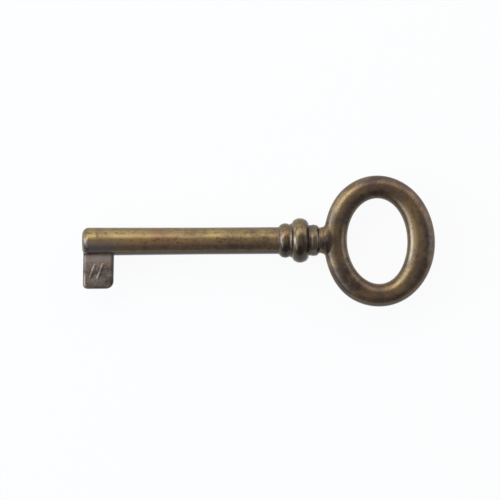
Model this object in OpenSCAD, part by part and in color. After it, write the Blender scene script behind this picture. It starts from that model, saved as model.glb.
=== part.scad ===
// Furniture key: an oval cast bow, a turned collar, a drilled round shank and a plain bit.
// The shank lies along X with its tip at the origin, and the bow is at +X.
// The bit points to -Y. The key lies flat, so +Z is its upper side. Millimetres.

/* [Shank] */
// Length of the shank that shows, from the tip to the collar
shank_length = 42; // [30:1:60]
// Diameter of the shank
shank_d = 5.7; // [5.4:0.1:7]
// Rounding of the rim at the tip
tip_round = 1.1; // [0.4:0.1:1.2]
// Diameter of the hole that goes over the lock's pin
pin_hole_d = 3.2; // [2.6:0.1:3.4]
// Depth of the straight wall of that hole
pin_hole_depth = 18; // [8:1:20]

/* [Bit] */
// Width of the bit along the shank
bit_width = 6.5; // [4:0.5:10]
// How far the bit stands out from the shank
bit_drop = 7.25; // [4:0.25:12]
// Thickness of the bit
bit_thickness = 2.4; // [2:0.1:3]
// Distance from the tip to the bit
bit_setback = 0.25; // [0.2:0.05:2]
// Radius of the bit's lower corner towards the tip
bit_front_corner = 1.0; // [0.5:0.1:2]
// Radius of the bit's lower corner towards the bow
bit_rear_corner = 1.5; // [0.5:0.1:2]
// Rounding of the bit's long edges
bit_edge_round = 0.7; // [0.2:0.1:0.8]
// Radius of the fillet where the bit meets the shank
bit_fillet = 0.6; // [0.3:0.1:1]
// Thickness of the tenon on the bit's root
tenon_thickness = 1.5; // [1:0.1:1.8]
// Depth of the tenon in the wall of the shank
tenon_depth = 0.7; // [0.4:0.1:0.8]

/* [Collar] */
// Rise of the front bead above the shank
front_bead_rise = 0.85; // [0.5:0.05:1.2]
// Radius of the front bead's round
front_bead_round = 1.45; // [1.2:0.05:1.6]
// Rise of the thin ring between the beads above the shank
quirk_rise = 0.72; // [0.4:0.02:1]
// Width of that thin ring
quirk_width = 0.3; // [0.2:0.05:0.6]
// Width of the groove on each side of the thin ring
quirk_groove = 0.05; // [0.05:0.01:0.2]
// Rise of the large bead above the shank
knop_rise = 1.94; // [1.2:0.02:2.2]
// Radius of the large bead's round
knop_round = 1.82; // [1.5:0.02:2.2]
// Rise of the collar's plain sleeve above the shank
sleeve_rise = 0.16; // [0.12:0.02:0.4]
// Depth of the seat in the collar that the shank enters
seat_depth = 1.2; // [0.8:0.1:2]

/* [Bow] */
// Diameter of the neck between the collar and the bow
neck_d = 5.5; // [4.6:0.1:6.2]
// Length of the neck behind its bead
neck_length = 1.0; // [0.6:0.1:4]
// Rise of the neck's bead above the neck
neck_bead_rise = 0.61; // [0.3:0.01:1]
// Radius of the neck bead's round
neck_bead_round = 1.2; // [1:0.05:1.6]
// Radius of the fillet where the neck meets the bow
neck_fillet = 0.9; // [0.5:0.1:1.5]
// Length of the bow along the key
bow_length = 24.1; // [20:0.1:32]
// Width of the bow across the key
bow_width = 28.2; // [22:0.1:36]
// Thickness of the bow
bow_thickness = 4.4; // [3.6:0.1:5]
// Length of the eye in the bow
eye_length = 13; // [8:0.1:14]
// Width of the eye in the bow
eye_width = 18.3; // [12:0.1:20]
// Shift of the eye from the bow's middle towards the neck
eye_shift = 0.3; // [0:0.1:1]
// Squareness of the bow's section, where 2 is an ellipse
bow_squareness = 2.3; // [2:0.1:3]
// Lean of the cast bow, in degrees
bow_lean = 2.4; // [0:0.2:4]
// Drop of the bow's middle towards the side of the bit
bow_drop = 0.2; // [0:0.1:0.5]
// Diameter of the tang that carries the bow
tang_d = 3.0; // [2.4:0.1:3.4]
// Length of the tang inside the shank
tang_grip = 8; // [5:0.5:9]

/* [Fits] */
// Gap that the solder fills, on each side of a joint
solder_gap = 0.04; // [0.02:0.01:0.08]

/* [Hidden] */
$fn = 96;

// How far a cut runs past the solid that it cuts
clear = 1;

shank_r = shank_d / 2;
hole_r = pin_hole_d / 2;
tang_r = tang_d / 2;
neck_r = neck_d / 2;

// Rounding of the tip's rim, limited by the wall round the pin hole
tip_land = 0.05;
tip_rim = min(tip_round, shank_r - hole_r - tip_land);
drill_point_angle = 118;
drill_point = hole_r / tan(drill_point_angle / 2);

// Places along the shank, from the tip to the bow
bead_lip = 0.05;
front_bead_at = shank_length + bead_lip + front_bead_round;
quirk_at = front_bead_at + 0.6 * front_bead_round;
quirk_root = quirk_rise - 0.2;
knop_at = quirk_at + quirk_width + quirk_groove + knop_round;
collar_rear = knop_at + knop_round + bead_lip;
shank_end = shank_length + seat_depth;
tang_tip = shank_end - tang_grip;
neck_bead_at = collar_rear + 0.8 * neck_bead_round;
neck_bead_shoulder = 0.1;
neck_start = neck_bead_at + 0.9 * neck_bead_round;
bow_near = neck_start + neck_length;
bow_middle = bow_near + bow_length / 2;
near_band = (bow_length - eye_length) / 2 - eye_shift;

// The fillet behind the neck starts before the bow and is limited by the neck's length
fillet_lead = 0.55;
neck_fillet_r = min(neck_fillet, neck_length / fillet_lead);
fillet_start = bow_near - fillet_lead * neck_fillet_r;

// Steps of the lofts
bow_stations = 84;
bow_section_points = 24;
neck_stations = 9;
neck_section_points = 32;

// The gold of the worn shank, and the browns of the turned and cast pieces
shank_colour = [0.62, 0.53, 0.33];
collar_colour = [0.45, 0.38, 0.28];
bow_colour = [0.42, 0.35, 0.26];
bit_colour = [0.46, 0.41, 0.35];

// Turns something drawn along +Z so that it runs along the shank, at a distance from the tip
module along_shank(at = 0) {
  translate([at, 0, 0]) rotate([0, 90, 0]) children();
}

// Half profile of a bead, placed along the shank, with its crown at a radius
module bead_profile(at, crown, round) {
  translate([crown - round, at]) circle(round);
}

// Half profile of a plain turned length
module turned_profile(from, to, r) {
  translate([0, from]) square([r, to - from]);
}

// What a round corner removes from a square one, with the corner at the origin
module corner_waste(round) {
  difference() {
    square(round);
    translate([round, round]) circle(round);
  }
}

// Outside of the shank, grown by a gap to cut the seat of the bit
module shank_blank(gap = 0) {
  along_shank(-gap) rotate_extrude() difference() {
    turned_profile(0, shank_end + 2 * gap, shank_r + gap);
    translate([shank_r + gap, 0]) mirror([1, 0]) corner_waste(tip_rim + gap);
  }
}

// Tenon of the bit, grown by a gap to cut its mortise in the shank
module tenon(gap = 0) {
  length = bit_width - 2 * bit_edge_round + 2 * gap;
  thickness = tenon_thickness + 2 * gap;
  translate([bit_setback + bit_edge_round - gap, -shank_r - clear, -thickness / 2])
    cube([length, clear + tenon_depth + gap, thickness]);
}

// Round shank, with the pin hole at the tip, the tang's socket at the rear and the bit's mortise
module shank() {
  color(shank_colour) difference() {
    shank_blank();
    along_shank(-clear) cylinder(r = hole_r, h = pin_hole_depth + clear);
    along_shank(pin_hole_depth) cylinder(r1 = hole_r, r2 = 0, h = drill_point);
    along_shank(tang_tip - solder_gap) cylinder(r = tang_r + solder_gap, h = tang_grip + clear);
    tenon(solder_gap);
  }
}

// Front view of the bit, up into the shank, with its two round lower corners
module bit_outline() {
  translate([bit_setback, -shank_r - bit_drop]) difference() {
    square([bit_width, bit_drop + clear]);
    corner_waste(bit_front_corner);
    translate([bit_width, 0]) mirror([1, 0]) corner_waste(bit_rear_corner);
  }
}

// Rectangle with round corners, centred
module rounded_rectangle(size, round) {
  difference() {
    square(size, center = true);
    for (sx = [0, 1], sy = [0, 1]) mirror([sx, 0]) mirror([0, sy])
      translate(-size / 2) corner_waste(round);
  }
}

// Flat of the bit: its outline, with the long edges and the lower end rounded
module bit_plate() {
  reach = shank_r + bit_drop;
  intersection() {
    linear_extrude(bit_thickness, center = true) bit_outline();
    translate([bit_setback + bit_width / 2, 0, 0]) rotate([90, 0, 0])
      linear_extrude(reach + clear) rounded_rectangle([bit_width, bit_thickness], bit_edge_round);
    rotate([90, 0, 90]) linear_extrude(bit_setback + bit_width + clear)
      rounded_rectangle([2 * reach, bit_thickness], bit_edge_round);
  }
}

// Fillets along both sides of the bit's root, tangent to the plate and to the shank
module bit_root_fillets() {
  half = bit_thickness / 2;
  lap = 0.3;
  centre_z = half + bit_fillet;
  centre_y = -sqrt(pow(shank_r + bit_fillet, 2) - pow(centre_z, 2));
  in_shank = [centre_y, centre_z] * (shank_r - lap) / (shank_r + bit_fillet);
  for (side = [0, 1]) mirror([0, 0, side])
    translate([bit_setback + bit_edge_round, 0, 0]) rotate([90, 0, 90])
      linear_extrude(bit_width - 2 * bit_edge_round) difference() {
        polygon([[centre_y, half - lap], [centre_y, centre_z], in_shank, [in_shank[0], half - lap]]);
        translate([centre_y, centre_z]) circle(bit_fillet);
      }
}

// Bit, seated on the shank with its tenon in the wall
module bit() {
  color(bit_colour) {
    difference() {
      union() {
        bit_plate();
        bit_root_fillets();
      }
      shank_blank(solder_gap);
    }
    tenon();
  }
}

// Turned collar: the front bead, the thin ring in its groove and the large bead
module collar() {
  color(collar_colour) along_shank() rotate_extrude() difference() {
    union() {
      turned_profile(shank_length, collar_rear, shank_r + sleeve_rise);
      bead_profile(front_bead_at, shank_r + front_bead_rise, front_bead_round);
      turned_profile(front_bead_at, knop_at, shank_r + quirk_root);
      turned_profile(quirk_at + quirk_groove, quirk_at + quirk_width, shank_r + quirk_rise);
      bead_profile(knop_at, shank_r + knop_rise, knop_round);
    }
    turned_profile(shank_length - clear, shank_end, shank_r + solder_gap);
    turned_profile(shank_length - clear, collar_rear + clear, tang_r + solder_gap);
  }
}

// Point on a unit superellipse at an angle
function rounded_point(angle, squareness) = [
  sign(cos(angle)) * pow(abs(cos(angle)), 2 / squareness),
  sign(sin(angle)) * pow(abs(sin(angle)), 2 / squareness)
];

// Section of the bow at an angle round the oval, from the edge of the eye to the outer edge
function bow_section(angle) =
  let (
    outer = [bow_length / 2 * cos(angle), bow_width / 2 * sin(angle)],
    inner = [eye_length / 2 * cos(angle) - eye_shift, eye_width / 2 * sin(angle)],
    middle = (outer + inner) / 2,
    half = (outer - inner) / 2
  ) [
    for (i = [0 : bow_section_points - 1])
      let (
        p = rounded_point(360 * i / bow_section_points, bow_squareness),
        flat = middle + half * p[0]
      ) [flat[0], flat[1], bow_thickness / 2 * p[1]]
  ];

// Triangles between neighbouring rings of points, and from the last ring to the first when closed
function loft_faces(rings, points, closed) = [
  for (i = [0 : rings - (closed ? 1 : 2)], j = [0 : points - 1])
    let (
      a = i * points + j,
      b = i * points + (j + 1) % points,
      c = (i + 1) % rings * points + (j + 1) % points,
      d = (i + 1) % rings * points + j
    ) each [[a, b, c], [a, c, d]]
];

// Oval ring of the bow, lofted through its sections
module bow_ring() {
  points = [for (i = [0 : bow_stations - 1]) each bow_section(360 * i / bow_stations)];
  polyhedron(points, loft_faces(bow_stations, bow_section_points, true));
}

// Rear of the neck: it spreads along a fillet into the bow and sinks under the bow's crown
module neck_spread() {
  lap = 0.4;
  skin = 0.03;
  crown_sink = 0.5;
  root_r = neck_r - skin;
  reach = bow_near + near_band / 2 - fillet_start;
  stations = [-lap, for (i = [0 : neck_stations - 1]) reach * i / (neck_stations - 1)];
  last = len(stations) - 1;
  function half_width(x) =
    root_r + neck_fillet_r - sqrt(pow(neck_fillet_r, 2) - pow(min(max(x, 0), neck_fillet_r), 2));
  function half_height(x) =
    root_r - (neck_r - bow_thickness / 2 + crown_sink) * pow(max(x, 0) / reach, 1.5);
  points = [
    for (x = stations, k = [0 : neck_section_points - 1])
      let (angle = 360 * k / neck_section_points)
        [fillet_start + x, half_width(x) * cos(angle), -half_height(x) * sin(angle)]
  ];
  front_cap = [for (k = [neck_section_points - 1 : -1 : 0]) k];
  rear_cap = [for (k = [0 : neck_section_points - 1]) last * neck_section_points + k];
  polyhedron(points, [front_cap, each loft_faces(last + 1, neck_section_points, false), rear_cap]);
}

// Cast bow with its neck, the neck's bead and the tang
module bow() {
  color(bow_colour) {
    along_shank(tang_tip) cylinder(r = tang_r, h = neck_start - tang_tip);
    along_shank() rotate_extrude() difference() {
      union() {
        turned_profile(collar_rear, fillet_start, neck_r);
        turned_profile(collar_rear, neck_bead_at, neck_r + neck_bead_rise - neck_bead_shoulder);
        bead_profile(neck_bead_at, neck_r + neck_bead_rise, neck_bead_round);
      }
      turned_profile(collar_rear - clear, collar_rear, neck_r + neck_bead_rise);
    }
    neck_spread();
    translate([bow_middle, -bow_drop, 0]) rotate([0, 0, bow_lean]) bow_ring();
  }
}

bow();
collar();
shank();
bit();
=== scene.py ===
import math

import bpy
import numpy as np
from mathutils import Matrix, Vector


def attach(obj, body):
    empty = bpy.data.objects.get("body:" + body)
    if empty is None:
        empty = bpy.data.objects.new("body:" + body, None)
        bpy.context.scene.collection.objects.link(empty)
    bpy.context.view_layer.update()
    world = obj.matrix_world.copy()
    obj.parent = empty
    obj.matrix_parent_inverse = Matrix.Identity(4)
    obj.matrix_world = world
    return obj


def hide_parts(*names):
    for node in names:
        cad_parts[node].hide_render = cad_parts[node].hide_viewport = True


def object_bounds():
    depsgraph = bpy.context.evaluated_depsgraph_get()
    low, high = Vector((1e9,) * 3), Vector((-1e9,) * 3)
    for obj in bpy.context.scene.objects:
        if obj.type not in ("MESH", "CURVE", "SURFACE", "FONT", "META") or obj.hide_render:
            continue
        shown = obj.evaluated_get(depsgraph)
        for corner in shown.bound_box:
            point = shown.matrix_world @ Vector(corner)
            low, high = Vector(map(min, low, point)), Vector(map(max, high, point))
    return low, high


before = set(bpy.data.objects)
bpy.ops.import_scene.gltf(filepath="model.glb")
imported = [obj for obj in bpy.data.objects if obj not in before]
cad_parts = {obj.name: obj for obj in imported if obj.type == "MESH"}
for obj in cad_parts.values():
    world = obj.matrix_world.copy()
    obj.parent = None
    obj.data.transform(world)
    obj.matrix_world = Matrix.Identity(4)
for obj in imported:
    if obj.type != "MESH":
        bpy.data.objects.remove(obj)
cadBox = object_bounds()

# The key lies along X with its tip at the origin, its bit towards -Y and +Z up.
# Sizes below are in millimetres, and mm turns them into the scene's metres.
mm = 0.001


def linearColour(hexCode):
    # sRGB hex to the linear colour that shaders take
    parts = [int(hexCode[i:i + 2], 16) / 255 for i in (1, 3, 5)]
    return [c / 12.92 if c <= 0.04045 else ((c + 0.055) / 1.055) ** 2.4 for c in parts] + [1.0]


def addNode(tree, kind, settings, inputs):
    # adds a node, sets its options and fills its sockets with values or links
    node = tree.nodes.new(kind)
    for option, value in settings.items():
        setattr(node, option, value)
    for name, value in inputs.items():
        if isinstance(value, bpy.types.NodeSocket):
            tree.links.new(value, node.inputs[name])
        else:
            node.inputs[name].default_value = value
    return node


def newMaterial(name):
    material = bpy.data.materials.new(name)
    material.use_nodes = True
    material.node_tree.nodes.clear()
    return material, material.node_tree


# Camera straight above the key, as in the photograph
camera = {
    "height": 800,           # far enough for the flat look of a product picture
    "frameWidth": 107.1,     # what the picture spans at the key's axis
    "centre": (35.90, -1.99),
    "roll": -0.36,           # degrees, the key climbs a little to the right
    "sensor": 36,
    "nearest": 10, "farthest": 20000,    # what it can see
}

lens = bpy.data.cameras.new("overheadLens")
lens.sensor_width = camera["sensor"]
lens.lens = camera["sensor"] * camera["height"] / camera["frameWidth"]
lens.clip_start = camera["nearest"] * mm
lens.clip_end = camera["farthest"] * mm
overhead = bpy.data.objects.new("overheadCamera", lens)
overhead.location = [camera["centre"][0] * mm, camera["centre"][1] * mm, camera["height"] * mm]
overhead.rotation_euler = (0, 0, math.radians(camera["roll"]))
bpy.context.scene.collection.objects.link(overhead)
bpy.context.scene.camera = overhead
bpy.context.scene.view_settings.view_transform = "Standard"
print("camera placed")


# Lamps: soft panels beyond the key and to its left, a low window at the left and a dim card at the right.
# Azimuth runs from the bow's end (+X) round by the far side, and glow is the radiance of the panel's face.
lamps = {
    "backPanel": {"azimuth": 92, "elevation": 38, "size": (460, 360), "glow": 1.42, "tint": "#fffffa"},
    "cornerPanel": {"azimuth": 136, "elevation": 42, "size": (340, 340), "glow": 2.75, "tint": "#f8fffb"},
    "leftWindow": {"azimuth": 176, "elevation": 24, "size": (340, 260), "glow": 7.7, "tint": "#bfd8ff"},
    "leftNear": {"azimuth": 212, "elevation": 34, "size": (320, 260), "glow": 2.8, "tint": "#c8deff"},
    "leftHigh": {"azimuth": 190, "elevation": 55, "size": (300, 300), "glow": 0.65, "tint": "#ffffff"},
    "lowBack": {"azimuth": 95, "elevation": 8, "size": (460, 190), "glow": 0.9, "tint": "#f8faff"},
    "lowLeft": {"azimuth": 150, "elevation": 8, "size": (560, 190), "glow": 1.9, "tint": "#d4e4ff"},
    "rightCard": {"azimuth": 12, "elevation": 19, "size": (460, 300), "glow": 1.3, "tint": "#cbdeff"},
    "rightBack": {"azimuth": 50, "elevation": 22, "size": (340, 440), "glow": 1.35, "tint": "#ffffff"},
    "topPanel": {"azimuth": 90, "elevation": 86, "size": (760, 760), "glow": 0.21, "tint": "#ffeee4"},
}
lampDistance = 600
room = {"colour": "#d2e3ff", "strength": 0.28}    # the cool light that fills in between the lamps


def placeLamp(name, settings):
    azimuth = math.radians(settings["azimuth"])
    elevation = math.radians(settings["elevation"])
    out = Vector((math.cos(azimuth) * math.cos(elevation),
                  math.sin(azimuth) * math.cos(elevation),
                  math.sin(elevation)))
    light = bpy.data.lights.new(name, "AREA")
    light.shape = "RECTANGLE"
    light.size = settings["size"][0] * mm
    light.size_y = settings["size"][1] * mm
    light.energy = settings["glow"] * math.pi * light.size * light.size_y    # watts for that radiance
    light.color = linearColour(settings["tint"])[:3]
    lamp = bpy.data.objects.new(name, light)
    target = Vector((camera["centre"][0] * mm, 0, 0))
    lamp.location = target + out * lampDistance * mm
    lamp.rotation_mode = "QUATERNION"
    lamp.rotation_quaternion = out.to_track_quat("Z", "Y")
    lamp.visible_camera = False
    bpy.context.scene.collection.objects.link(lamp)


for lampName, lampSettings in lamps.items():
    placeLamp(lampName, lampSettings)

world = bpy.data.worlds.new("studio")
world.use_nodes = True
world.node_tree.nodes["Background"].inputs["Color"].default_value = linearColour(room["colour"])
world.node_tree.nodes["Background"].inputs["Strength"].default_value = room["strength"]
bpy.context.scene.world = world
print("lamps placed")


# White paper under the key, curved up far away so that side views end in paper too
paper = {
    "radius": 3000,
    "rimHeight": 280,
    "rimRadius": 900,
    "gap": 0.02,           # keeps the paper just under the key
    "colour": "#eeeeec",
    "whiteShare": 0.93,    # how much of the seen white is plain white, the rest takes the shadow
    "flatRings": (0.02, 0.1, 0.4, 1.0),    # rings of points in the flat part, as shares of its radius
    "rimSteps": 9,
    "sides": 64,
}


def paperMaterial():
    # Matt white card: it shows as white round the key and keeps a soft trace of the shadow
    material, tree = newMaterial("mattWhiteCard")
    matt = addNode(tree, "ShaderNodeBsdfDiffuse", {}, {"Color": linearColour(paper["colour"])})
    white = addNode(tree, "ShaderNodeEmission", {}, {"Color": [1, 1, 1, 1], "Strength": 1.0})
    path = addNode(tree, "ShaderNodeLightPath", {}, {})
    seen = addNode(tree, "ShaderNodeMath", {"operation": "MAXIMUM"},
                   {0: path.outputs["Is Camera Ray"], 1: path.outputs["Is Glossy Ray"]})
    seenToo = addNode(tree, "ShaderNodeMath", {"operation": "MAXIMUM"},
                      {0: seen.outputs[0], 1: path.outputs["Is Transmission Ray"]})
    share = addNode(tree, "ShaderNodeMath", {"operation": "MULTIPLY"},
                    {0: seenToo.outputs[0], 1: paper["whiteShare"]})
    mix = addNode(tree, "ShaderNodeMixShader", {},
                  {0: share.outputs[0], 1: matt.outputs[0], 2: white.outputs[0]})
    addNode(tree, "ShaderNodeOutputMaterial", {}, {"Surface": mix.outputs[0]})
    return material


def meshObject(name, points, faces, material):
    # points in millimetres
    mesh = bpy.data.meshes.new(name)
    mesh.from_pydata((np.asarray(points) * mm).tolist(), [], faces)
    mesh.validate()
    mesh.update()
    mesh.shade_smooth()
    mesh.materials.append(material)
    piece = bpy.data.objects.new(name, mesh)
    bpy.context.scene.collection.objects.link(piece)
    return piece


def gridFaces(rings, count, closeRings=False):
    # quads between rings of points, each ring closed on itself, and the last joined to the first if asked
    faces = []
    for i in range(rings if closeRings else rings - 1):
        here, after = i * count, (i + 1) % rings * count
        for j in range(count):
            k = (j + 1) % count
            faces.append((here + j, after + j, after + k, here + k))
    return faces


def buildPaper():
    floorHeight = cadBox[0].z / mm - paper["gap"]
    flat = paper["radius"] - paper["rimRadius"]
    profile = [(flat * share, floorHeight) for share in paper["flatRings"]]
    for turn in np.radians(np.linspace(0, 90, paper["rimSteps"]))[1:]:
        profile.append((flat + paper["rimRadius"] * math.sin(turn),
                        floorHeight + paper["rimHeight"] * (1 - math.cos(turn))))
    angles = np.radians(np.arange(paper["sides"]) * 360 / paper["sides"])
    points = [(r * math.cos(a) + camera["centre"][0], r * math.sin(a), z) for r, z in profile for a in angles]
    faces = gridFaces(len(profile), paper["sides"])
    faces.append(tuple(range(paper["sides"])))
    floor = meshObject("paperFloor", points, faces, paperMaterial())


buildPaper()
print("paper laid")


# Finishes. Antique brass: brass browned by a sulphide patina, rubbed back to a dull gold on what stands
# proud, then waxed. The eye sees mottled brown and gold, darker in the corners, under a soft pale gloss; some
# of the gold is painted highlight, and the brown side, the film's near side and much of the soot are painted
# shade.
finishes = {
    # Cast brass, tumbled smooth: slow waves in the skin break up the highlights, with broad bronze patches
    "cast_bow": {
        "material": "antiqueCastBrass",
        "gold": "#8c7347", "bronze": "#7b5839",        # rubbed metal, and its warmer patches and brown side
        "patina": "#574334", "stain": "#3b2a1e",       # unrubbed brown, and dark specks and blotches on it
        "sootAndShade": "#261b14", "dull": "#6b5d50",          # grime and painted shade in the corners and on the near side, and what greys some places over
        "filmColour": "#33271e", "filmGloss": 0.42,    # dark film that shows where the surface is seen aslant, thicker on the near side as painted shade
        "filmFrom": 0.10, "filmTo": 0.55,              # how far aslant it begins to show and hides the metal
        "patch": 7.0, "mottle": 3.0, "speck": 0.9,     # sizes of the patterns in millimetres
        "grain": 0.30,                                 # in mm, three times as coarse as the real one, to show
        "stretch": (1, 1, 1),                          # scale along X, Y and Z, where below 1 draws them out
        "goldShare": 0.52, "spread": 0.40,             # how much is rubbed to gold, and how softly that ends
        "bronzeStart": 0.46, "shadeBrownShare": 0.5,        # noise level where bronze starts, and its share on the near side, where browner metal is painted shade
        "specks": 0.4, "blotch": 0.75,                 # how dark they are
        "metallic": 0.95, "rough": (0.32, 0.36),       # roughness rubbed and unrubbed
        "wax": 0.85, "waxRough": 0.26,                 # how much wax, and how rough both it and the film are
        "relief": 0.005, "wave": 5.0,                  # height of the skin's unevenness in mm, share of waves
    },
    # Turned brass, smooth from the tool: narrow bright highlights on the beads and near-black grooves
    "turned_collar": {
        "material": "antiqueTurnedBrass",
        "gold": "#937c4c", "bronze": "#80613f",
        "patina": "#57442e", "stain": "#3b2b1e",
        "sootAndShade": "#211813", "dull": "#6b5d50",
        "filmColour": "#211b18", "filmGloss": 0.32,
        "filmFrom": 0.0, "filmTo": 0.34,
        "patch": 5.0, "mottle": 2.2, "speck": 0.8,
        "grain": 0.25,
        "stretch": (1, 1, 1),
        "goldShare": 0.46, "spread": 0.45,
        "bronzeStart": 0.48, "shadeBrownShare": 0.7,
        "specks": 0.3, "blotch": 0.4,
        "metallic": 0.95, "rough": (0.27, 0.32),
        "wax": 0.9, "waxRough": 0.20,
        "relief": 0.0018, "wave": 1.5,
    },
    # Drawn brass rod, the most handled part: the palest gold, its mottle drawn out a little along the rod
    "drawn_shank": {
        "material": "antiqueDrawnBrass",
        "gold": "#a58c54", "bronze": "#946f47",
        "patina": "#684e39", "stain": "#4c3224",
        "sootAndShade": "#2b2119", "dull": "#857568",
        "filmColour": "#392a1f", "filmGloss": 0.38,
        "filmFrom": 0.03, "filmTo": 0.48,
        "patch": 8.0, "mottle": 2.0, "speck": 0.75,
        "grain": 0.30,
        "stretch": (0.8, 1, 1),
        "goldShare": 0.54, "spread": 0.36,
        "bronzeStart": 0.50, "shadeBrownShare": 0.85,
        "specks": 0.6, "blotch": 0.4,
        "metallic": 0.95, "rough": (0.31, 0.38),
        "wax": 0.8, "waxRough": 0.24,
        "relief": 0.006, "wave": 1.5,
    },
    # Cast brass left as it came from the mould, with hardly any wax: a greyer, grainy matt face
    "cast_bit": {
        "material": "antiqueMattCastBrass",
        "gold": "#90806f", "bronze": "#846b55",
        "patina": "#5b4d41", "stain": "#4b3d34",
        "sootAndShade": "#2c2622", "dull": "#a69686",
        "filmColour": "#332b26", "filmGloss": 0.42,
        "filmFrom": 0.1, "filmTo": 0.6,
        "patch": 4.0, "mottle": 1.5, "speck": 0.6,
        "grain": 0.30,
        "stretch": (1, 1, 1),
        "goldShare": 0.52, "spread": 0.26,
        "bronzeStart": 0.46, "shadeBrownShare": 0.0,
        "specks": 0.6, "blotch": 0.4,
        "metallic": 0.85, "rough": (0.48, 0.54),
        "wax": 0.45, "waxRough": 0.34,
        "relief": 0.012, "wave": 2.0,
    },
}

# How the patterns are mixed, the same for all four finishes
mixing = {
    "edge": "#a8a29a",              # a dull film doesn't brighten at its edge as bare brass does
    "details": {"patch": 3, "mottle": 5, "speck": 3, "grain": 2},
    "noiseRoughness": 0.58,
    "fraying": 0.45,                # how far the specks fray the clouds of rubbed metal
    "wearAndHighlightPush": 0.4,                # how far wear and painted highlights spread them
    "halfRubbed": 0.725,            # noise level that leaves half rubbed
    "shareShift": 0.6,              # and how far goldShare shifts it
    "bronzeWidth": 0.2,             # how softly the bronze patches begin
    "speckRange": (0.55, 0.66),     # noise levels where specks begin and are full
    "blotchRange": (0.56, 0.68),    # the same for blotches
    "stainAndShadePush": 0.2,               # how far stains, and the painted shade spot among them, spread them
    "blotchesPerPatch": 1.6, "blotchNoise": {"W": 3.7, "Detail": 4, "Roughness": 0.6},
    "grainShare": 0.5,              # how deep the grain is beside the specks
    "waxUnderGrimeAndShade": 0.25,          # grime and painted shade lie matt over the wax
}

# Vertex masks from 0 to 1, which each piece sets below
maskNames = ("wearAndHighlight", "grimeAndShade", "filmAndShade", "shadeBrown", "stainsAndShade", "dull")


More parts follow.
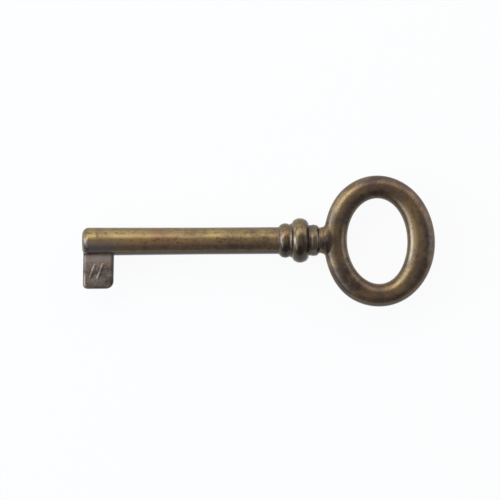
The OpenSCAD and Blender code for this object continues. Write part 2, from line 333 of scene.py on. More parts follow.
def antiqueBrass(look):
    material, tree = newMaterial(look["material"])
    place = addNode(tree, "ShaderNodeTexCoord", {}, {})
    laid = addNode(tree, "ShaderNodeMapping", {},
                   {"Vector": place.outputs["Object"], "Scale": look["stretch"]})
    noises = {}
    for name, detail in mixing["details"].items():
        noises[name] = addNode(tree, "ShaderNodeTexNoise", {"noise_dimensions": "3D"}, {
            "Vector": laid.outputs[0], "Scale": 1 / (look[name] * mm),
            "Detail": detail, "Roughness": mixing["noiseRoughness"],
        }).outputs["Fac"]
    masks = {}
    for name in maskNames:
        masks[name] = addNode(tree, "ShaderNodeAttribute", {"attribute_name": name}, {}).outputs["Fac"]

    # clouds of rubbed and unrubbed metal, with specks at their edges and more rubbing where it is worn and
    # where highlights are painted
    clouds = addNode(tree, "ShaderNodeMath", {"operation": "MULTIPLY_ADD"},
                     {0: noises["speck"], 1: mixing["fraying"], 2: noises["mottle"]})
    wornAndLit = addNode(tree, "ShaderNodeMath", {"operation": "MULTIPLY_ADD"},
                   {0: masks["wearAndHighlight"], 1: mixing["wearAndHighlightPush"], 2: clouds.outputs[0]})
    border = mixing["halfRubbed"] + (0.5 - look["goldShare"]) * mixing["shareShift"]
    rubbed = addNode(tree, "ShaderNodeMapRange", {"interpolation_type": "SMOOTHSTEP"}, {
        "Value": wornAndLit.outputs[0],
        "From Min": border - look["spread"] / 2, "From Max": border + look["spread"] / 2,
    })

    # bronze in broad patches, and on the near side as painted shade
    warmer = addNode(tree, "ShaderNodeMapRange", {"interpolation_type": "SMOOTHSTEP"}, {
        "Value": noises["patch"],
        "From Min": look["bronzeStart"], "From Max": look["bronzeStart"] + mixing["bronzeWidth"],
    })
    shadedBrown = addNode(tree, "ShaderNodeMath", {"operation": "MULTIPLY"},
                      {0: masks["shadeBrown"], 1: look["shadeBrownShare"]})
    bronzed = addNode(tree, "ShaderNodeMath", {"operation": "MAXIMUM"},
                      {0: warmer.outputs[0], 1: shadedBrown.outputs[0]})

    # dark specks, and blotches that grow where the piece is stained and at a painted shade spot
    specks = addNode(tree, "ShaderNodeMapRange", {"interpolation_type": "SMOOTHSTEP"}, {
        "Value": noises["speck"], "To Max": look["specks"],
        "From Min": mixing["speckRange"][0], "From Max": mixing["speckRange"][1],
    })
    blotchNoise = addNode(tree, "ShaderNodeTexNoise", {"noise_dimensions": "4D"}, {
        "Vector": laid.outputs[0], "Scale": mixing["blotchesPerPatch"] / (look["patch"] * mm),
        **mixing["blotchNoise"],
    })
    stainedAndShaded = addNode(tree, "ShaderNodeMath", {"operation": "MULTIPLY_ADD"},
                      {0: masks["stainsAndShade"], 1: mixing["stainAndShadePush"], 2: blotchNoise.outputs["Fac"]})
    blotches = addNode(tree, "ShaderNodeMapRange", {"interpolation_type": "SMOOTHSTEP"}, {
        "Value": stainedAndShaded.outputs[0], "To Max": look["blotch"],
        "From Min": mixing["blotchRange"][0], "From Max": mixing["blotchRange"][1],
    })

    # the colours laid over one another: a mix takes its share at 0 and colours at 6 and 7, and gives one at 2
    rubbedColour = addNode(tree, "ShaderNodeMix", {"data_type": "RGBA"}, {
        0: bronzed.outputs[0], 6: linearColour(look["gold"]), 7: linearColour(look["bronze"]),
    })
    colour = addNode(tree, "ShaderNodeMix", {"data_type": "RGBA"}, {
        0: rubbed.outputs[0], 6: linearColour(look["patina"]), 7: rubbedColour.outputs[2],
    })
    # over them go specks, blotches, greyed places, and last the grime, which is also painted shade in corners
    # and on the near side
    for share, shade in ((specks.outputs[0], "stain"), (blotches.outputs[0], "stain"),
                         (masks["dull"], "dull"), (masks["grimeAndShade"], "sootAndShade")):
        colour = addNode(tree, "ShaderNodeMix", {"data_type": "RGBA"}, {
            0: share, 6: colour.outputs[2], 7: linearColour(look[shade]),
        })

    # an uneven skin: grain, pits and slow waves
    pits = addNode(tree, "ShaderNodeMath", {"operation": "MULTIPLY_ADD"},
                   {0: noises["grain"], 1: mixing["grainShare"], 2: noises["speck"]})
    waves = addNode(tree, "ShaderNodeMath", {"operation": "MULTIPLY_ADD"},
                    {0: noises["mottle"], 1: look["wave"], 2: pits.outputs[0]})
    bump = addNode(tree, "ShaderNodeBump", {}, {
        "Height": waves.outputs[0], "Strength": 1.0, "Distance": look["relief"] * mm,
    })
    roughness = addNode(tree, "ShaderNodeMapRange", {}, {
        "Value": rubbed.outputs[0], "To Min": look["rough"][1], "To Max": look["rough"][0],
    })
    wax = addNode(tree, "ShaderNodeMapRange", {}, {
        "Value": masks["grimeAndShade"], "To Min": look["wax"], "To Max": look["wax"] * mixing["waxUnderGrimeAndShade"],
    })
    metal = addNode(tree, "ShaderNodeBsdfPrincipled", {}, {
        "Base Color": colour.outputs[2], "Metallic": look["metallic"], "Roughness": roughness.outputs[0],
        "Specular Tint": linearColour(mixing["edge"]), "Normal": bump.outputs[0],
        "Coat Weight": wax.outputs[0], "Coat Roughness": look["waxRough"], "Coat Normal": bump.outputs[0],
    })

    # seen aslant, the dark film over the brass hides the gold and shows its own grey gloss; where it is
    # thicker, on the near side, it is painted shade
    filmAndShade = addNode(tree, "ShaderNodeBsdfPrincipled", {}, {
        "Base Color": linearColour(look["filmColour"]), "Roughness": look["waxRough"],
        "Specular IOR Level": look["filmGloss"], "Normal": bump.outputs[0],
    })
    aslant = addNode(tree, "ShaderNodeLayerWeight", {}, {"Blend": 0.5, "Normal": bump.outputs[0]})
    hidden = addNode(tree, "ShaderNodeMapRange", {"interpolation_type": "SMOOTHSTEP"}, {
        "Value": aslant.outputs["Facing"], "From Min": look["filmFrom"], "From Max": look["filmTo"],
    })
    veil = addNode(tree, "ShaderNodeMath", {"operation": "MULTIPLY"},
                   {0: hidden.outputs[0], 1: masks["filmAndShade"]})
    surface = addNode(tree, "ShaderNodeMixShader", {},
                      {0: veil.outputs[0], 1: metal.outputs[0], 2: filmAndShade.outputs[0]})
    addNode(tree, "ShaderNodeOutputMaterial", {}, {"Surface": surface.outputs[0]})
    return material


materials = {slot: antiqueBrass(look) for slot, look in finishes.items()}
print("finishes mixed")


def vertexValues(piece, field):
    # a row for each vertex: its "co" in metres or its "normal"
    values = np.empty(len(piece.data.vertices) * 3)
    piece.data.vertices.foreach_get(field, values)
    return values.reshape(-1, 3)


def hump(values, middle, half, power=2):
    # 1 at the middle and 0.37 a half width away, with steeper sides for a higher power
    return np.exp(-(((values - middle) / half) ** power))


def ramp(values, start, end):
    # 0 before the start and 1 past the end, in either direction
    return np.clip((values - start) / (end - start), 0, 1)


def spots(piece, places):
    # soft oval spots: middle, half sizes along X and Y, strength
    x, y, _ = vertexValues(piece, "co").T / mm
    return sum(strength * hump(x, middleX, halfX) * hump(y, middleY, halfY)
               for (middleX, middleY), (halfX, halfY), strength in places)


# painted shade: the dark film is thicker and the metal browner on the near side, which faces away from the
# lamps
shadedFilmSide = {"towards": (0.0, -0.96, -0.26), "from": -0.45, "to": 0.55}
shadedBrownSide = {"towards": (0.10, -0.95, -0.10), "from": -0.62, "to": 0.15}


def facing(piece, side):
    # 0 to 1 as the surface turns towards a side
    return ramp(vertexValues(piece, "normal") @ side["towards"], side["from"], side["to"])


def setMasks(piece, zones, recipe):
    # each mask is the sum of its zones times their strengths, and the film is never thinner than leastFilm
    zones = {**zones, "all": 1.0}    # the same all over
    masks = {name: sum(strength * zones[zone] for zone, strength in parts.items())
             for name, parts in recipe.items()}
    masks["filmAndShade"] = np.maximum(masks["filmAndShade"] * facing(piece, shadedFilmSide), masks["leastFilm"])
    masks["shadeBrown"] = facing(piece, shadedBrownSide)
    for name in maskNames:
        values = np.broadcast_to(masks.get(name, 0), len(piece.data.vertices))
        layer = piece.data.attributes.new(name, "FLOAT", "POINT")
        layer.data.foreach_set("value", np.clip(values, 0, 1).astype(np.float32))


nearAxis = 0.01    # radius where a round form closes on its axis
almost = 0.98      # share of its radius over which a fillet is followed, just short of upright


def revolve(name, profile, sides, material):
    # profile is a closed loop of (x, radius) points round the key's axis
    angles = np.radians(np.arange(sides) * 360 / sides)
    points = [(x, r * math.cos(a), r * math.sin(a)) for x, r in profile for a in angles]
    faces = gridFaces(len(profile), sides, closeRings=True)
    xs, rs = np.array(profile).T
    if (xs * np.roll(rs, -1) - rs * np.roll(xs, -1)).sum() < 0:    # keeps the faces' outer sides outwards
        faces = [face[::-1] for face in faces]
    return meshObject(name, points, faces, material)


def arc(centreX, centreR, radius, start, end, steps):
    # part of a circle in the (x, radius) half plane, angles in degrees from +X towards +radius
    return [(centreX + radius * math.cos(math.radians(a)), centreR + radius * math.sin(math.radians(a)))
            for a in np.linspace(start, end, steps)]


def smoothLine(values, width):
    # Gaussian smoothing of evenly spaced values, held at both ends
    reach = int(3 * width) + 1
    kernel = np.exp(-0.5 * (np.arange(-reach, reach + 1) / width) ** 2)
    padded = np.pad(values, reach, mode="edge")
    return np.convolve(padded, kernel / kernel.sum(), mode="valid")


def beadLine(xs, beads, base):
    # outline of a turned length: the highest of its beads over a base radius
    line = np.full(len(xs), base)
    for bead in beads:
        side = np.where(xs < bead["at"], bead["front"], bead["rear"])
        inside = np.clip(1 - ((xs - bead["at"]) / side) ** 2, 0, 1)
        height = bead["crown"] - bead["depth"] * (1 - np.sqrt(inside))
        line = np.where(inside > 0, np.maximum(line, height), line)
    return line


def respace(xs, radii, step):
    # points of a line at even distances along it
    lengths = np.concatenate([[0], np.cumsum(np.hypot(np.diff(xs), np.diff(radii)))])
    stops = np.linspace(0, lengths[-1], max(2, int(lengths[-1] / step)))
    return np.interp(stops, lengths, xs), np.interp(stops, lengths, radii)


# Shank: a drawn rod with a blunt round tip, drilled there for the lock's pin and at the rear for the tang
shankSettings = {
    "radius": 2.885, "length": 43.2, "rearEdge": 0.05,
    "taper": 0.15, "taperLength": 28, "taperPower": 1.5,    # how the radius grows towards the tip
    "rimLength": 1.35, "rimDrop": 1.31, "rimPower": 1.8,    # the tip's round edge
    "holeRadius": 1.6, "holeDepth": 18, "holeEdge": 0.1,
    "holeMargin": 1,      # from the hole's floor to the first ring of points in its wall
    "drillAngle": 59,     # half the angle of a drill's point
    "socketRadius": 1.54, "socketDepth": 8,
    "step": 0.4, "holeRings": 30, "edgeRings": 5, "rimRings": 26, "sides": 160,
    # rubbed places and painted highlights, and soot and painted shade: middle, half sizes, strength
    "rubsAndHighlights": [((13.5, 0.9), (2.2, 0.9), 0.6), ((24.3, 0.4), (2.5, 0.6), 0.4),
             ((30.6, 1.5), (2.0, 1.3), 0.25), ((28.0, 2.3), (2.0, 0.6), 0.5)],
    "sootAndShade": [((35.4, 1.65), (4.0, 0.5), 0.27), ((24.0, 1.8), (1.7, 0.7), 0.15),
             ((32.0, -0.8), (3.2, 0.7), 0.14)],
    # zones along X: middle, half length, power
    "rim": (0.0, 0.9), "shadedBehindRim": (0.8, 0.5), "rimEdge": (0.1, 0.4, 4),
    "bitRoot": (3.5, 3.6, 6), "overBit": (2.0, 6.2, 4), "collarEnd": (42, 0.5),
    # ramps along X, along Y, and along the normal's Y: where they are 0 and where 1
    # painted light: the rod grows lighter towards its tip, nearer the lamps at the left
    "litTowardsTip": (24, 0), "tipPower": 1.2,
    "nearHalf": (0.4, -1.1), "rootSide": (-1.9, -2.3),
    "nearFaces": (0.25, -0.35),
    # what steers the finish: each mask with its zones and their strengths
    "masks": {
        # painted light here: the rod lighter towards the tip and less film on the rim's outer edge are
        # painted highlights; the near half of the rim less rubbed, and grime behind the rim, at the bit's
        # root and at the collar's end, are painted shade
        "wearAndHighlight": {"litTowardsTip": 1.0, "rubsAndHighlights": 1.0, "shadedNearRim": -0.9},
        "grimeAndShade": {"inHole": 0.8, "shadedBehindRim": 0.3, "shadedNearBehindRim": 0.5, "bitRoot": 0.45,
                  "collarEnd": 0.1, "sootAndShade": 1.0},
        "filmAndShade": {"all": 1.0, "bitRoot": -0.25, "rimEdge": -0.7},
        "leastFilm": {"all": 0.42, "rimEdge": -0.336},
        "dull": {"overBit": 0.85, "rim": 0.45},
    },
}


def shankRadius(x):
    s = shankSettings
    return s["radius"] + s["taper"] * max(1 - x / s["taperLength"], 0) ** s["taperPower"]


def buildShank():
    s = shankSettings
    # from the hole's drilled point out over the tip and back along the outside to the socket
    holePoint = s["holeDepth"] + s["holeRadius"] / math.tan(math.radians(s["drillAngle"]))
    profile = [(holePoint, nearAxis), (s["holeDepth"], s["holeRadius"])]
    hole = np.linspace(s["holeDepth"] - s["holeMargin"], s["holeEdge"], s["holeRings"])
    profile += [(x, s["holeRadius"]) for x in hole]
    profile += arc(s["holeEdge"], s["holeRadius"] + s["holeEdge"], s["holeEdge"],
                   270, 180, s["edgeRings"])[1:]
    for a in np.radians(np.linspace(0, 90, s["rimRings"])):
        x = s["rimLength"] * (1 - math.cos(a) ** (2 / s["rimPower"]))
        profile.append((x, shankRadius(x) - s["rimDrop"] * (1 - math.sin(a) ** (2 / s["rimPower"]))))
    outside = np.arange(s["rimLength"] + s["step"], s["length"] - s["rearEdge"], s["step"])
    profile += [(x, shankRadius(x)) for x in outside]
    socketFloor = s["length"] - s["socketDepth"]
    profile += [(s["length"], s["radius"] - s["rearEdge"]), (s["length"], s["socketRadius"]),
                (socketFloor, s["socketRadius"]), (socketFloor, nearAxis)]
    piece = revolve("shankRod", profile, s["sides"], materials["drawn_shank"])

    x, radius = np.repeat(np.array(profile), s["sides"], axis=0).T    # of each vertex
    y = vertexValues(piece, "co")[:, 1] / mm
    outer = radius > s["holeRadius"]
    nearHalf = ramp(y, *s["nearHalf"])
    rim = hump(x, *s["rim"]) * outer
    rimEdge = hump(x, *s["rimEdge"]) * outer
    shadedBehindRim = hump(x, *s["shadedBehindRim"]) * outer * (1 - rimEdge)
    setMasks(piece, {
        "rubsAndHighlights": spots(piece, s["rubsAndHighlights"]),
        "sootAndShade": spots(piece, s["sootAndShade"]),
        "litTowardsTip": ramp(x, *s["litTowardsTip"]) ** s["tipPower"],
        "inHole": ~outer,
        "rim": rim, "shadedNearRim": rim * nearHalf,
        "rimEdge": rimEdge,
        "shadedBehindRim": shadedBehindRim, "shadedNearBehindRim": shadedBehindRim * nearHalf,
        "bitRoot": hump(x, *s["bitRoot"]) * ramp(y, *s["rootSide"]),
        "overBit": hump(x, *s["overBit"]) * ramp(vertexValues(piece, "normal")[:, 1], *s["nearFaces"]),
        "collarEnd": hump(x, *s["collarEnd"]),
    }, s["masks"])
    return piece


shank = buildShank()
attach(shank, "root")
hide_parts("shank")
print("shank built")


# Collar: two turned beads with a thin ring between them, and a groove behind the larger
collarSettings = {
    "front": 42.0, "rear": 48.42,
    "lip": 3.0, "lipRound": 0.13, "lipEnd": 96,    # the front edge's round, ended just past 90 degrees
    "seatRadius": 2.895, "seatDepth": 1.2, "boreRadius": 1.54,
    "beads": [
        {"at": 43.45, "crown": 3.70, "front": 1.36, "rear": 1.36, "depth": 1.0},
        {"at": 44.81, "crown": 3.63, "front": 0.36, "rear": 0.26, "depth": 0.12},
        {"at": 46.57, "crown": 4.785, "front": 1.79, "rear": 1.97, "depth": 1.62},
        {"at": 48.30, "crown": 3.36, "front": 0.30, "rear": 0.20, "depth": 0.05},
    ],
    # thin turned lines: place, half width, rise
    "lines": [(44.83, 0.10, 0.02), (45.25, 0.10, 0.05), (47.95, 0.11, 0.07)],
    "soften": 0.06, "grooveWidth": 0.35,
    "fine": 0.01, "step": 0.05, "lipRings": 7, "sides": 192,
    # rubbed places that are painted highlights, less rubbed as painted shade where the strength is below
    # zero, and soot spots that are painted shade
    "rubsAndHighlights": [((46.2, 2.9), (1.2, 1.7), 0.6), ((43.0, 1.6), (0.8, 1.2), 0.8),
             ((46.8, -0.5), (1.5, 1.6), -1.0), ((43.6, -0.5), (0.8, 1.2), -0.7)],
    "sootAndShade": [((47.8, 3.0), (0.5, 1.2), 0.25), ((46.6, -1.3), (0.7, 0.8), 0.25),
             ((43.8, -3.2), (0.9, 0.6), 0.3)],
    "nearFaces": (0.05, -0.45), "flankFade": 1.3,    # ramp along the normal's Y, less on what faces along X
    "masks": {
        # painted light here: the rubs above zero are painted highlights on the beads, those below zero and
        # the soot are painted shade, and so is the grime on the near side
        "wearAndHighlight": {"rubsAndHighlights": 1.0, "grooves": -1.5},
        "grimeAndShade": {"grooves": 0.1, "shadedNearSide": 0.7, "sootAndShade": 1.0},
        "filmAndShade": {"all": 0.6},
        "leastFilm": {"all": 0.3},
    },
}


def buildCollar():
    s = collarSettings
    xs = np.arange(s["front"], s["rear"] + s["fine"], s["fine"])
    line = smoothLine(beadLine(xs, s["beads"], s["lip"]), s["soften"] / s["fine"])
    line += sum(rise * hump(xs, at, half) for at, half, rise in s["lines"])
    depth = smoothLine(line, s["grooveWidth"] / s["fine"]) - line    # above zero in the grooves
    lineX, radii = respace(xs, line, s["step"])
    depth = np.interp(lineX, xs, depth)
    lip = arc(s["front"] + s["lipRound"], s["lip"] - s["lipRound"], s["lipRound"],
              180, s["lipEnd"], s["lipRings"])
    keep = lineX > s["front"] + s["lipRound"]
    inner = [(s["rear"], s["boreRadius"]), (s["front"] + s["seatDepth"], s["boreRadius"]),
             (s["front"] + s["seatDepth"], s["seatRadius"]), (s["front"], s["seatRadius"])]
    profile = lip + list(zip(lineX[keep], radii[keep])) + inner
    depth = np.concatenate([np.zeros(len(lip)), depth[keep], np.ones(len(inner))])
    piece = revolve("collarBeads", profile, s["sides"], materials["turned_collar"])

    normalX, normalY, _ = vertexValues(piece, "normal").T
    setMasks(piece, {
        "rubsAndHighlights": spots(piece, s["rubsAndHighlights"]),
        "sootAndShade": spots(piece, s["sootAndShade"]),
        "grooves": np.repeat(depth, s["sides"]),
        "shadedNearSide": ramp(normalY, *s["nearFaces"]) * np.clip(1 - s["flankFade"] * np.abs(normalX), 0, 1),
    }, s["masks"])
    return piece


collar = buildCollar()
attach(collar, "root")
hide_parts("collar")
print("collar built")


# Bit: horizontal sections stacked from the lower end up into the shank
bitSettings = {
    "front": 0.22, "rear": 6.76, "lean": -0.026,    # along X beside the shank, and the shift for each mm down
    "end": -10.1, "top": -2.0, "thickness": 2.4,    # along Y, and up
    "edgeRound": 0.7, "frontCorner": 1.0, "rearCorner": 1.55, "fillet": 0.6, "shankRadius": 3.0,
    "endAngles": (6, 90, 22),    # sections up the lower end's round corner: from, to and how many
    "step": 0.09, "cornerSteps": 10, "sectionPoints": 160,
    # two slanted raised strokes, plain relief on the upper face: start and end of each
    "strokes": [((1.75, -7.55), (2.75, -5.05)), ((3.35, -7.75), (4.45, -4.95))],
    "strokeHalf": 0.25, "strokeRise": 0.13, "strokePower": 4,
    "upperFace": 0.9,    # height above which a point belongs to the upper face
    # ramps along Y, and along X in from the front and the rear edge
    "upperHalf": (-5.8, -4.4), "aboveLowCorner": (-7.4, -6.6),
    "frontEdge": (0.7, 0.2), "rearEdge": (-0.75, -0.25),
    # zones along Y: middle, half length
    "topStrip": (-3.7, 0.8), "lowEnd": (-9.0, 0.7),
    # painted light on the bit: its lower front edge is lighter, a painted highlight; its rear edge and upper
    # front edge are darker, painted shade; it is also lighter on its upper half, darker along its lower end,
    # and greyer in a strip just under the shank
    "masks": {
        "wearAndHighlight": {"upperHalf": 1.0, "litLowFrontEdge": 0.7, "all": -0.1},
        "grimeAndShade": {"rearEdge": 0.6, "shadedHighFrontEdge": 0.6, "lowEnd": 0.25},
        "filmAndShade": {"all": 1.0},
        "leastFilm": {"all": 0.0},
        "dull": {"topStrip": 0.6},
    },
}


def cornerInset(distance, radius):
    # how far an outline with a round corner lies in, at a distance from its end
    d = np.clip(distance, 0, radius)
    return radius - math.sqrt(max(radius ** 2 - (radius - d) ** 2, 0))


def bitSection(y):
    # the bit's outline at one height, widened by the fillet where it comes up to the shank
    s = bitSettings
    up = y - s["end"]
    half = s["thickness"] / 2 - cornerInset(up, s["edgeRound"])
    filletStart = -math.sqrt((s["shankRadius"] + s["fillet"]) ** 2 - (s["thickness"] / 2 + s["fillet"]) ** 2)
    if y > filletStart:
        climb = min(y - filletStart, s["fillet"] * almost)
        half += s["fillet"] - math.sqrt(s["fillet"] ** 2 - climb ** 2)
    lean = s["lean"] * (-s["shankRadius"] - y)
    front = s["front"] + lean + cornerInset(up, s["frontCorner"])
    rear = s["rear"] + lean - cornerInset(up, s["rearCorner"])
    corner = min(s["edgeRound"], almost * half)
    points = []
    for cx, cz, start in ((rear - corner, half - corner, 0), (front + corner, half - corner, 90),
                          (front + corner, corner - half, 180), (rear - corner, corner - half, 270)):
        for a in np.radians(np.linspace(start, start + 90, s["cornerSteps"])):
            points.append((cx + corner * math.cos(a), y, cz + corner * math.sin(a)))
    return evenSection(points, s["sectionPoints"])


def evenSection(points, count):
    # a closed outline as a fixed number of evenly spaced points
    ring = np.array(points + points[:1])
    steps = np.concatenate([[0], np.cumsum(np.linalg.norm(np.diff(ring, axis=0), axis=1))])
    stops = np.linspace(0, steps[-1], count, endpoint=False)
    return np.stack([np.interp(stops, steps, ring[:, k]) for k in range(3)], axis=1)


def strokeRise(points):
    # height of the slanted strokes above the upper face
    s = bitSettings
    rise = np.zeros(len(points))
    for (x0, y0), (x1, y1) in s["strokes"]:
        run = np.array([x1 - x0, y1 - y0])
        share = np.clip(((points[:, :2] - [x0, y0]) @ run) / (run @ run), 0, 1)
        away = np.linalg.norm(points[:, :2] - [x0, y0] - share[:, None] * run, axis=1)
        rise = np.maximum(rise, hump(away, 0, s["strokeHalf"], s["strokePower"]))
    return rise * (points[:, 2] > s["upperFace"]) * s["strokeRise"]


def buildBit():
    s = bitSettings
    lowEnd = s["end"] + s["rearCorner"] * (1 - np.cos(np.radians(np.linspace(*s["endAngles"]))))
    ys = np.concatenate([lowEnd, np.arange(lowEnd[-1] + s["step"], s["top"], s["step"])])
    rings = np.array([bitSection(y) for y in ys])
    count = s["sectionPoints"]
    points = rings.reshape(-1, 3)
    faces = gridFaces(len(ys), count)
    faces.append(tuple(range(count - 1, -1, -1)))
    faces.append(tuple((len(ys) - 1) * count + k for k in range(count)))
    points[:, 2] += strokeRise(points)
    piece = meshObject("bitPlate", points, faces, materials["cast_bit"])

    x, y, _ = points.T
    frontEdge = ramp(x - s["front"], *s["frontEdge"])
    aboveLowCorner = ramp(y, *s["aboveLowCorner"])
    setMasks(piece, {
        "upperHalf": ramp(y, *s["upperHalf"]),
        "litLowFrontEdge": frontEdge * (1 - aboveLowCorner),
        "shadedHighFrontEdge": frontEdge * aboveLowCorner,
        "rearEdge": ramp(x - s["rear"], *s["rearEdge"]),
        "lowEnd": hump(y, *s["lowEnd"]) * (1 - frontEdge),
        "topStrip": hump(y, *s["topStrip"]),
    }, s["masks"])
    return piece


bit = buildBit()
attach(bit, "root")
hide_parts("bit")
print("bit built")


# Bow: an oval ring and a turned neck, melted into one casting
bowSettings = {
    "middle": (63.5, -0.25), "lean": 2.4,    # degrees that the cast ring leans by in its own plane
    "length": 24.1, "width": 28.05, "thickness": 4.4,
    "eyeLength": 13.0, "eyeWidth": 18.3, "eyeShift": 0.3,
    "squareness": 2.0,    # of the band's section, where 2 is a plain oval
    "nearFlat": 0.27, "flatHalf": 11, "eyeBend": 0.17,    # the neck's side is flatter, and the eye bows to it
    # the cast outline is a little fuller and leaner in places: degrees round the ring, offset in mm
    "outerOffsets": [(0, 0.0), (25, -0.08), (40, -0.02), (70, -0.05), (90, 0.05), (135, 0.12), (165, 0.0),
                     (195, 0.03), (222, 0.25), (240, 0.20), (254, 0.05), (266, 0.0), (300, 0.02),
                     (335, 0.03), (360, 0.0)],
    "eyeOffsets": [(0, -0.10), (40, 0.0), (290, 0.0), (318, -0.12), (340, -0.14), (360, -0.10)],
    "stations": 300, "sectionPoints": 56, "offsetSoften": 8,    # the last in stations
    # one skin over ring and neck, its inner corner rounded off
    "voxel": 0.12, "cornerRounds": 12, "polishRounds": 4, "smoothing": 0.5,
    "corner": (52.3, 1.3, 4), "cornerReach": 6,    # zone along X, reach along Y
    "cornerLeast": 0.02,                           # weight below which a point is left alone
    # rubbed places and painted highlights, stains with one painted shade spot where neck meets ring, and soot
    # and painted shade: middle, half sizes, strength
    "rubsAndHighlights": [((52.3, 0.3), (0.8, 1.0), 0.9), ((70.7, 3.0), (1.9, 4.6), 0.9), ((69.5, 5.6), (1.0, 2.4), 0.8),
             ((54.2, 8.2), (2.0, 2.2), 0.5), ((56.3, -3.7), (1.0, 2.0), 0.7),
             ((68.5, -10.8), (2.6, 2.0), 0.45), ((52.9, -5.0), (0.8, 1.4), 0.4)],
    "stainsAndShade": [((56.3, -8.6), (2.0, 2.6), 0.7), ((72.6, -7.4), (1.6, 2.6), 0.6),
               ((74.2, 1.6), (0.9, 1.8), 0.4), ((52.4, -2.0), (0.9, 0.9), 0.4),
               ((62.6, 13.0), (3.0, 1.0), 0.5), ((59.4, -9.8), (2.2, 1.3), 0.5)],
    "sootAndShade": [((54.0, 0.6), (0.6, 3.4), 0.2), ((66.0, 13.0), (2.0, 1.1), 0.3),
             ((69.2, 11.3), (1.6, 1.4), 0.12), ((51.5, 2.2), (0.8, 1.1), 0.25),
             ((53.0, 3.2), (0.8, 1.3), 0.2), ((55.3, 1.2), (0.6, 1.2), 0.25),
             ((52.2, -2.1), (0.9, 0.8), 0.4), ((51.6, -2.5), (1.0, 0.6), 0.35),
             ((52.6, -3.7), (0.9, 0.9), 0.2), ((53.6, -2.9), (0.9, 1.2), 0.2),
             ((52.5, 3.5), (1.1, 0.8), 0.4), ((48.75, 0.0), (0.42, 3.5), 0.45),
             ((53.9, -7.7), (1.5, 1.8), 0.4), ((55.8, -10.0), (1.8, 1.3), 0.4),
             ((59.8, -8.9), (1.6, 1.2), 0.3), ((67.2, 8.4), (1.4, 1.2), 0.2),
             ((54.8, 4.0), (1.2, 1.6), 0.15)],
    "hollowRounds": 40,    # how widely hollows are looked for
    "neckZone": (53.4, 52.2), "beadZone": (51.2, 50.6),    # ramps along X, towards the collar
    "masks": {
        # painted light here: the rubs are painted highlights as well as wear, and much of the soot is painted
        # shade where the neck meets the ring and in the groove by the collar
        "wearAndHighlight": {"hollows": -5.0, "neckHollows": 4.5, "neck": -0.5, "rubsAndHighlights": 1.0},
        "grimeAndShade": {"hollows": 2.0, "neckHollows": -1.6, "sootAndShade": 1.0},
        "filmAndShade": {"all": 1.0, "besideRing": -0.8},
        "leastFilm": {"all": 0.38, "besideRing": -0.25},
        "stainsAndShade": {"stainsAndShade": 1.0},
        "dull": {"bead": 0.4},
    },
    "neck": {
        "front": 48.46, "radius": 2.72, "flare": 1.35, "tangRadius": 1.5, "tangTip": 35.2,
        "noseStart": 50.9, "noseTip": 55.2, "noseFall": 2.9, "noseHeight": 2.12,
        "noseBluntness": 8, "noseAngles": (2, 89.5, 40),    # its sections, closer together towards its tip
        "beads": [
            {"at": 49.62, "crown": 3.36, "front": 1.60, "rear": 1.12, "depth": 0.85},
            {"at": 48.40, "crown": 3.30, "front": 0.70, "rear": 0.80, "depth": 0.30},
        ],
        # faint turned lines: place, half width and rise, fading out at the widest radius they have there
        "lines": [(49.46, 0.14, 0.045), (49.82, 0.12, -0.04), (50.15, 0.13, 0.03),
                  (51.28, 0.19, 0.065), (51.73, 0.15, -0.05), (52.15, 0.19, 0.06)],
        "beadEnd": 51, "widestOnBead": 3.7, "widestBehind": 3.1, "lineFade": 0.2,
        "lineFloor": 2,    # no lines inside this radius
        "soften": 0.05, "fine": 0.02, "sides": 128,
    },
}


def ringPoints():
    # oval sections round the ring, between its outline and its eye
    s = bowSettings
    turn = np.radians(np.arange(s["stations"]) * 360 / s["stations"])[:, None]
    around = np.radians(np.arange(s["sectionPoints"]) * 360 / s["sectionPoints"])[None, :]
    grow = []
    for offsets in (s["outerOffsets"], s["eyeOffsets"]):
        degrees, amounts = np.array(offsets).T
        line = np.interp(np.degrees(turn[:, 0]), degrees, amounts)
        line = smoothLine(np.tile(line, 3), s["offsetSoften"])    # three times round, to keep the middle one
        grow.append(line[s["stations"]:2 * s["stations"], None])
    outerGrow, eyeGrow = grow
    outerX = (s["length"] / 2 + outerGrow) * np.cos(turn)
    outerY = (s["width"] / 2 + outerGrow) * np.sin(turn)
    outerX = outerX + s["nearFlat"] * np.clip(1 - (outerY / s["flatHalf"]) ** 2, 0, 1) * (np.cos(turn) < 0)
    eyeX = (s["eyeLength"] / 2 + eyeGrow) * np.cos(turn) - s["eyeShift"] + s["eyeBend"] * np.sin(turn) ** 2
    eyeY = (s["eyeWidth"] / 2 + eyeGrow) * np.sin(turn)
    power = 2 / s["squareness"]
    across = np.sign(np.cos(around)) * np.abs(np.cos(around)) ** power
    height = np.sign(np.sin(around)) * np.abs(np.sin(around)) ** power
    x = (outerX + eyeX) / 2 + (outerX - eyeX) / 2 * across
    y = (outerY + eyeY) / 2 + (outerY - eyeY) / 2 * across
    z = np.broadcast_to(s["thickness"] / 2 * height, x.shape)
    lean = math.radians(s["lean"])
    return np.stack([s["middle"][0] + x * math.cos(lean) - y * math.sin(lean),
                     s["middle"][1] + x * math.sin(lean) + y * math.cos(lean), z], axis=-1).reshape(-1, 3)


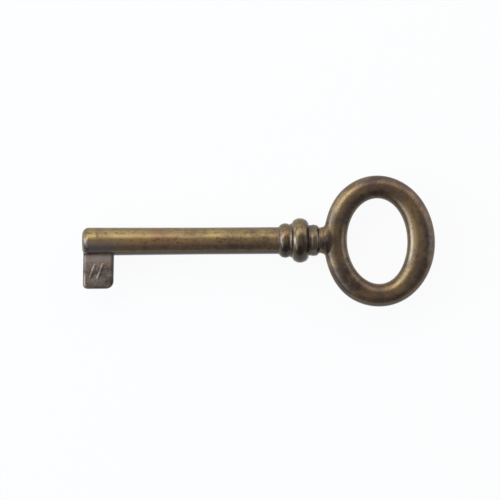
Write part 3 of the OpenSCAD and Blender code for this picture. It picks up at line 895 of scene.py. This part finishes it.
def neckSkin():
    # the turned neck, with an end that sinks gently to the height of the ring and runs into it
    s = bowSettings["neck"]
    xs = np.arange(s["front"], s["noseStart"], s["fine"])
    line = smoothLine(beadLine(xs, s["beads"], s["radius"]), s["soften"] / s["fine"])
    profile = [(s["tangTip"], nearAxis, nearAxis), (s["tangTip"], s["tangRadius"], s["tangRadius"]),
               (s["front"], s["tangRadius"], s["tangRadius"])] + [(x, r, r) for x, r in zip(xs, line)]
    for share in np.sin(np.radians(np.linspace(*s["noseAngles"]))):
        along = (s["noseTip"] - s["noseStart"]) * share
        spread = s["flare"] - math.sqrt(s["flare"] ** 2 - min(along, almost * s["flare"]) ** 2)
        fall = 0.5 - 0.5 * math.cos(math.pi * min(along / s["noseFall"], 1))
        blunt = (1 - share ** s["noseBluntness"]) ** 0.5
        high = (s["radius"] + (s["noseHeight"] - s["radius"]) * fall) * blunt
        profile.append((s["noseStart"] + along, s["radius"] + spread, high))
    angles = np.radians(np.arange(s["sides"]) * 360 / s["sides"])
    points = [(x, wide * math.cos(a), high * math.sin(a)) for x, wide, high in profile for a in angles]
    faces = gridFaces(len(profile), s["sides"])
    faces.append(tuple(range(s["sides"])))
    faces.append(tuple((len(profile) - 1) * s["sides"] + i for i in range(s["sides"] - 1, -1, -1)))
    return points, faces


def applied(piece):
    # swaps a piece's mesh for what its modifiers make of it
    graph = bpy.context.evaluated_depsgraph_get()
    mesh = bpy.data.meshes.new_from_object(piece.evaluated_get(graph))
    piece.modifiers.clear()
    piece.data = mesh


def meltTogether(piece):
    # one skin over ring and neck, with the inner corner where they meet rounded off
    s = bowSettings
    skin = piece.modifiers.new("skin", "REMESH")
    skin.mode = "VOXEL"
    skin.voxel_size = s["voxel"] * mm
    skin.use_smooth_shade = True
    applied(piece)
    x, y, _ = vertexValues(piece, "co").T / mm
    near = hump(x, *s["corner"]) * (np.abs(y) < s["cornerReach"])
    group = piece.vertex_groups.new(name="innerCorner")
    for i in np.nonzero(near > s["cornerLeast"])[0]:
        group.add([int(i)], float(near[i]), "REPLACE")
    for name, vertexGroup, rounds in (("fillet", "innerCorner", s["cornerRounds"]),
                                      ("polish", "", s["polishRounds"])):
        soften = piece.modifiers.new(name, "SMOOTH")
        soften.factor = s["smoothing"]
        soften.iterations = rounds
        soften.vertex_group = vertexGroup
    applied(piece)


def hollowness(piece, rounds):
    # how far a smoothed copy of the surface lies above it: positive in hollows, negative on ridges
    co = vertexValues(piece, "co") / mm
    ends = np.empty(len(piece.data.edges) * 2, dtype=np.int64)
    piece.data.edges.foreach_get("vertices", ends)
    a, b = ends.reshape(-1, 2).T
    links = np.bincount(a, minlength=len(co)) + np.bincount(b, minlength=len(co))
    soft = co.copy()
    for _ in range(rounds):
        total = np.zeros_like(soft)
        for k in range(3):
            total[:, k] = np.bincount(a, soft[b, k], len(co)) + np.bincount(b, soft[a, k], len(co))
        soft = total / np.maximum(links, 1)[:, None]
    return ((soft - co) * vertexValues(piece, "normal")).sum(axis=1)


def turnLines(piece):
    # raises and sinks the neck's faint turned lines, and leaves the flare, the ring and the tang as they are
    s = bowSettings["neck"]
    co = vertexValues(piece, "co") / mm
    radius = np.hypot(co[:, 1], co[:, 2])
    rise = sum(height * hump(co[:, 0], at, half) for at, half, height in s["lines"])
    widest = np.where(co[:, 0] < s["beadEnd"], s["widestOnBead"], s["widestBehind"])
    rise = rise * ramp(radius, widest, widest - s["lineFade"]) * (radius > s["lineFloor"])
    co[:, 1:] *= (1 + rise / np.maximum(radius, s["lineFloor"]))[:, None]
    piece.data.vertices.foreach_set("co", (co * mm).ravel())
    piece.data.update()


def buildBow():
    s = bowSettings
    ring = ringPoints()
    ringFaces = gridFaces(s["stations"], s["sectionPoints"], closeRings=True)
    neck, neckFaces = neckSkin()
    neckFaces = [tuple(i + len(ring) for i in face) for face in neckFaces]
    piece = meshObject("bowCasting", np.concatenate([ring, neck]), ringFaces + neckFaces,
                       materials["cast_bow"])
    meltTogether(piece)
    turnLines(piece)

    x = vertexValues(piece, "co")[:, 0] / mm
    hollows = hollowness(piece, s["hollowRounds"])
    hollows = hollows - np.median(hollows)
    neckZone = ramp(x, *s["neckZone"])
    beadZone = ramp(x, *s["beadZone"])
    setMasks(piece, {
        "rubsAndHighlights": spots(piece, s["rubsAndHighlights"]),
        "stainsAndShade": spots(piece, s["stainsAndShade"]),
        "sootAndShade": spots(piece, s["sootAndShade"]),
        "hollows": hollows, "neckHollows": hollows * neckZone,
        "neck": neckZone, "bead": beadZone, "besideRing": neckZone - beadZone,
    }, s["masks"])
    return piece


bow = buildBow()
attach(bow, "root")
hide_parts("bow")
print("bow built")
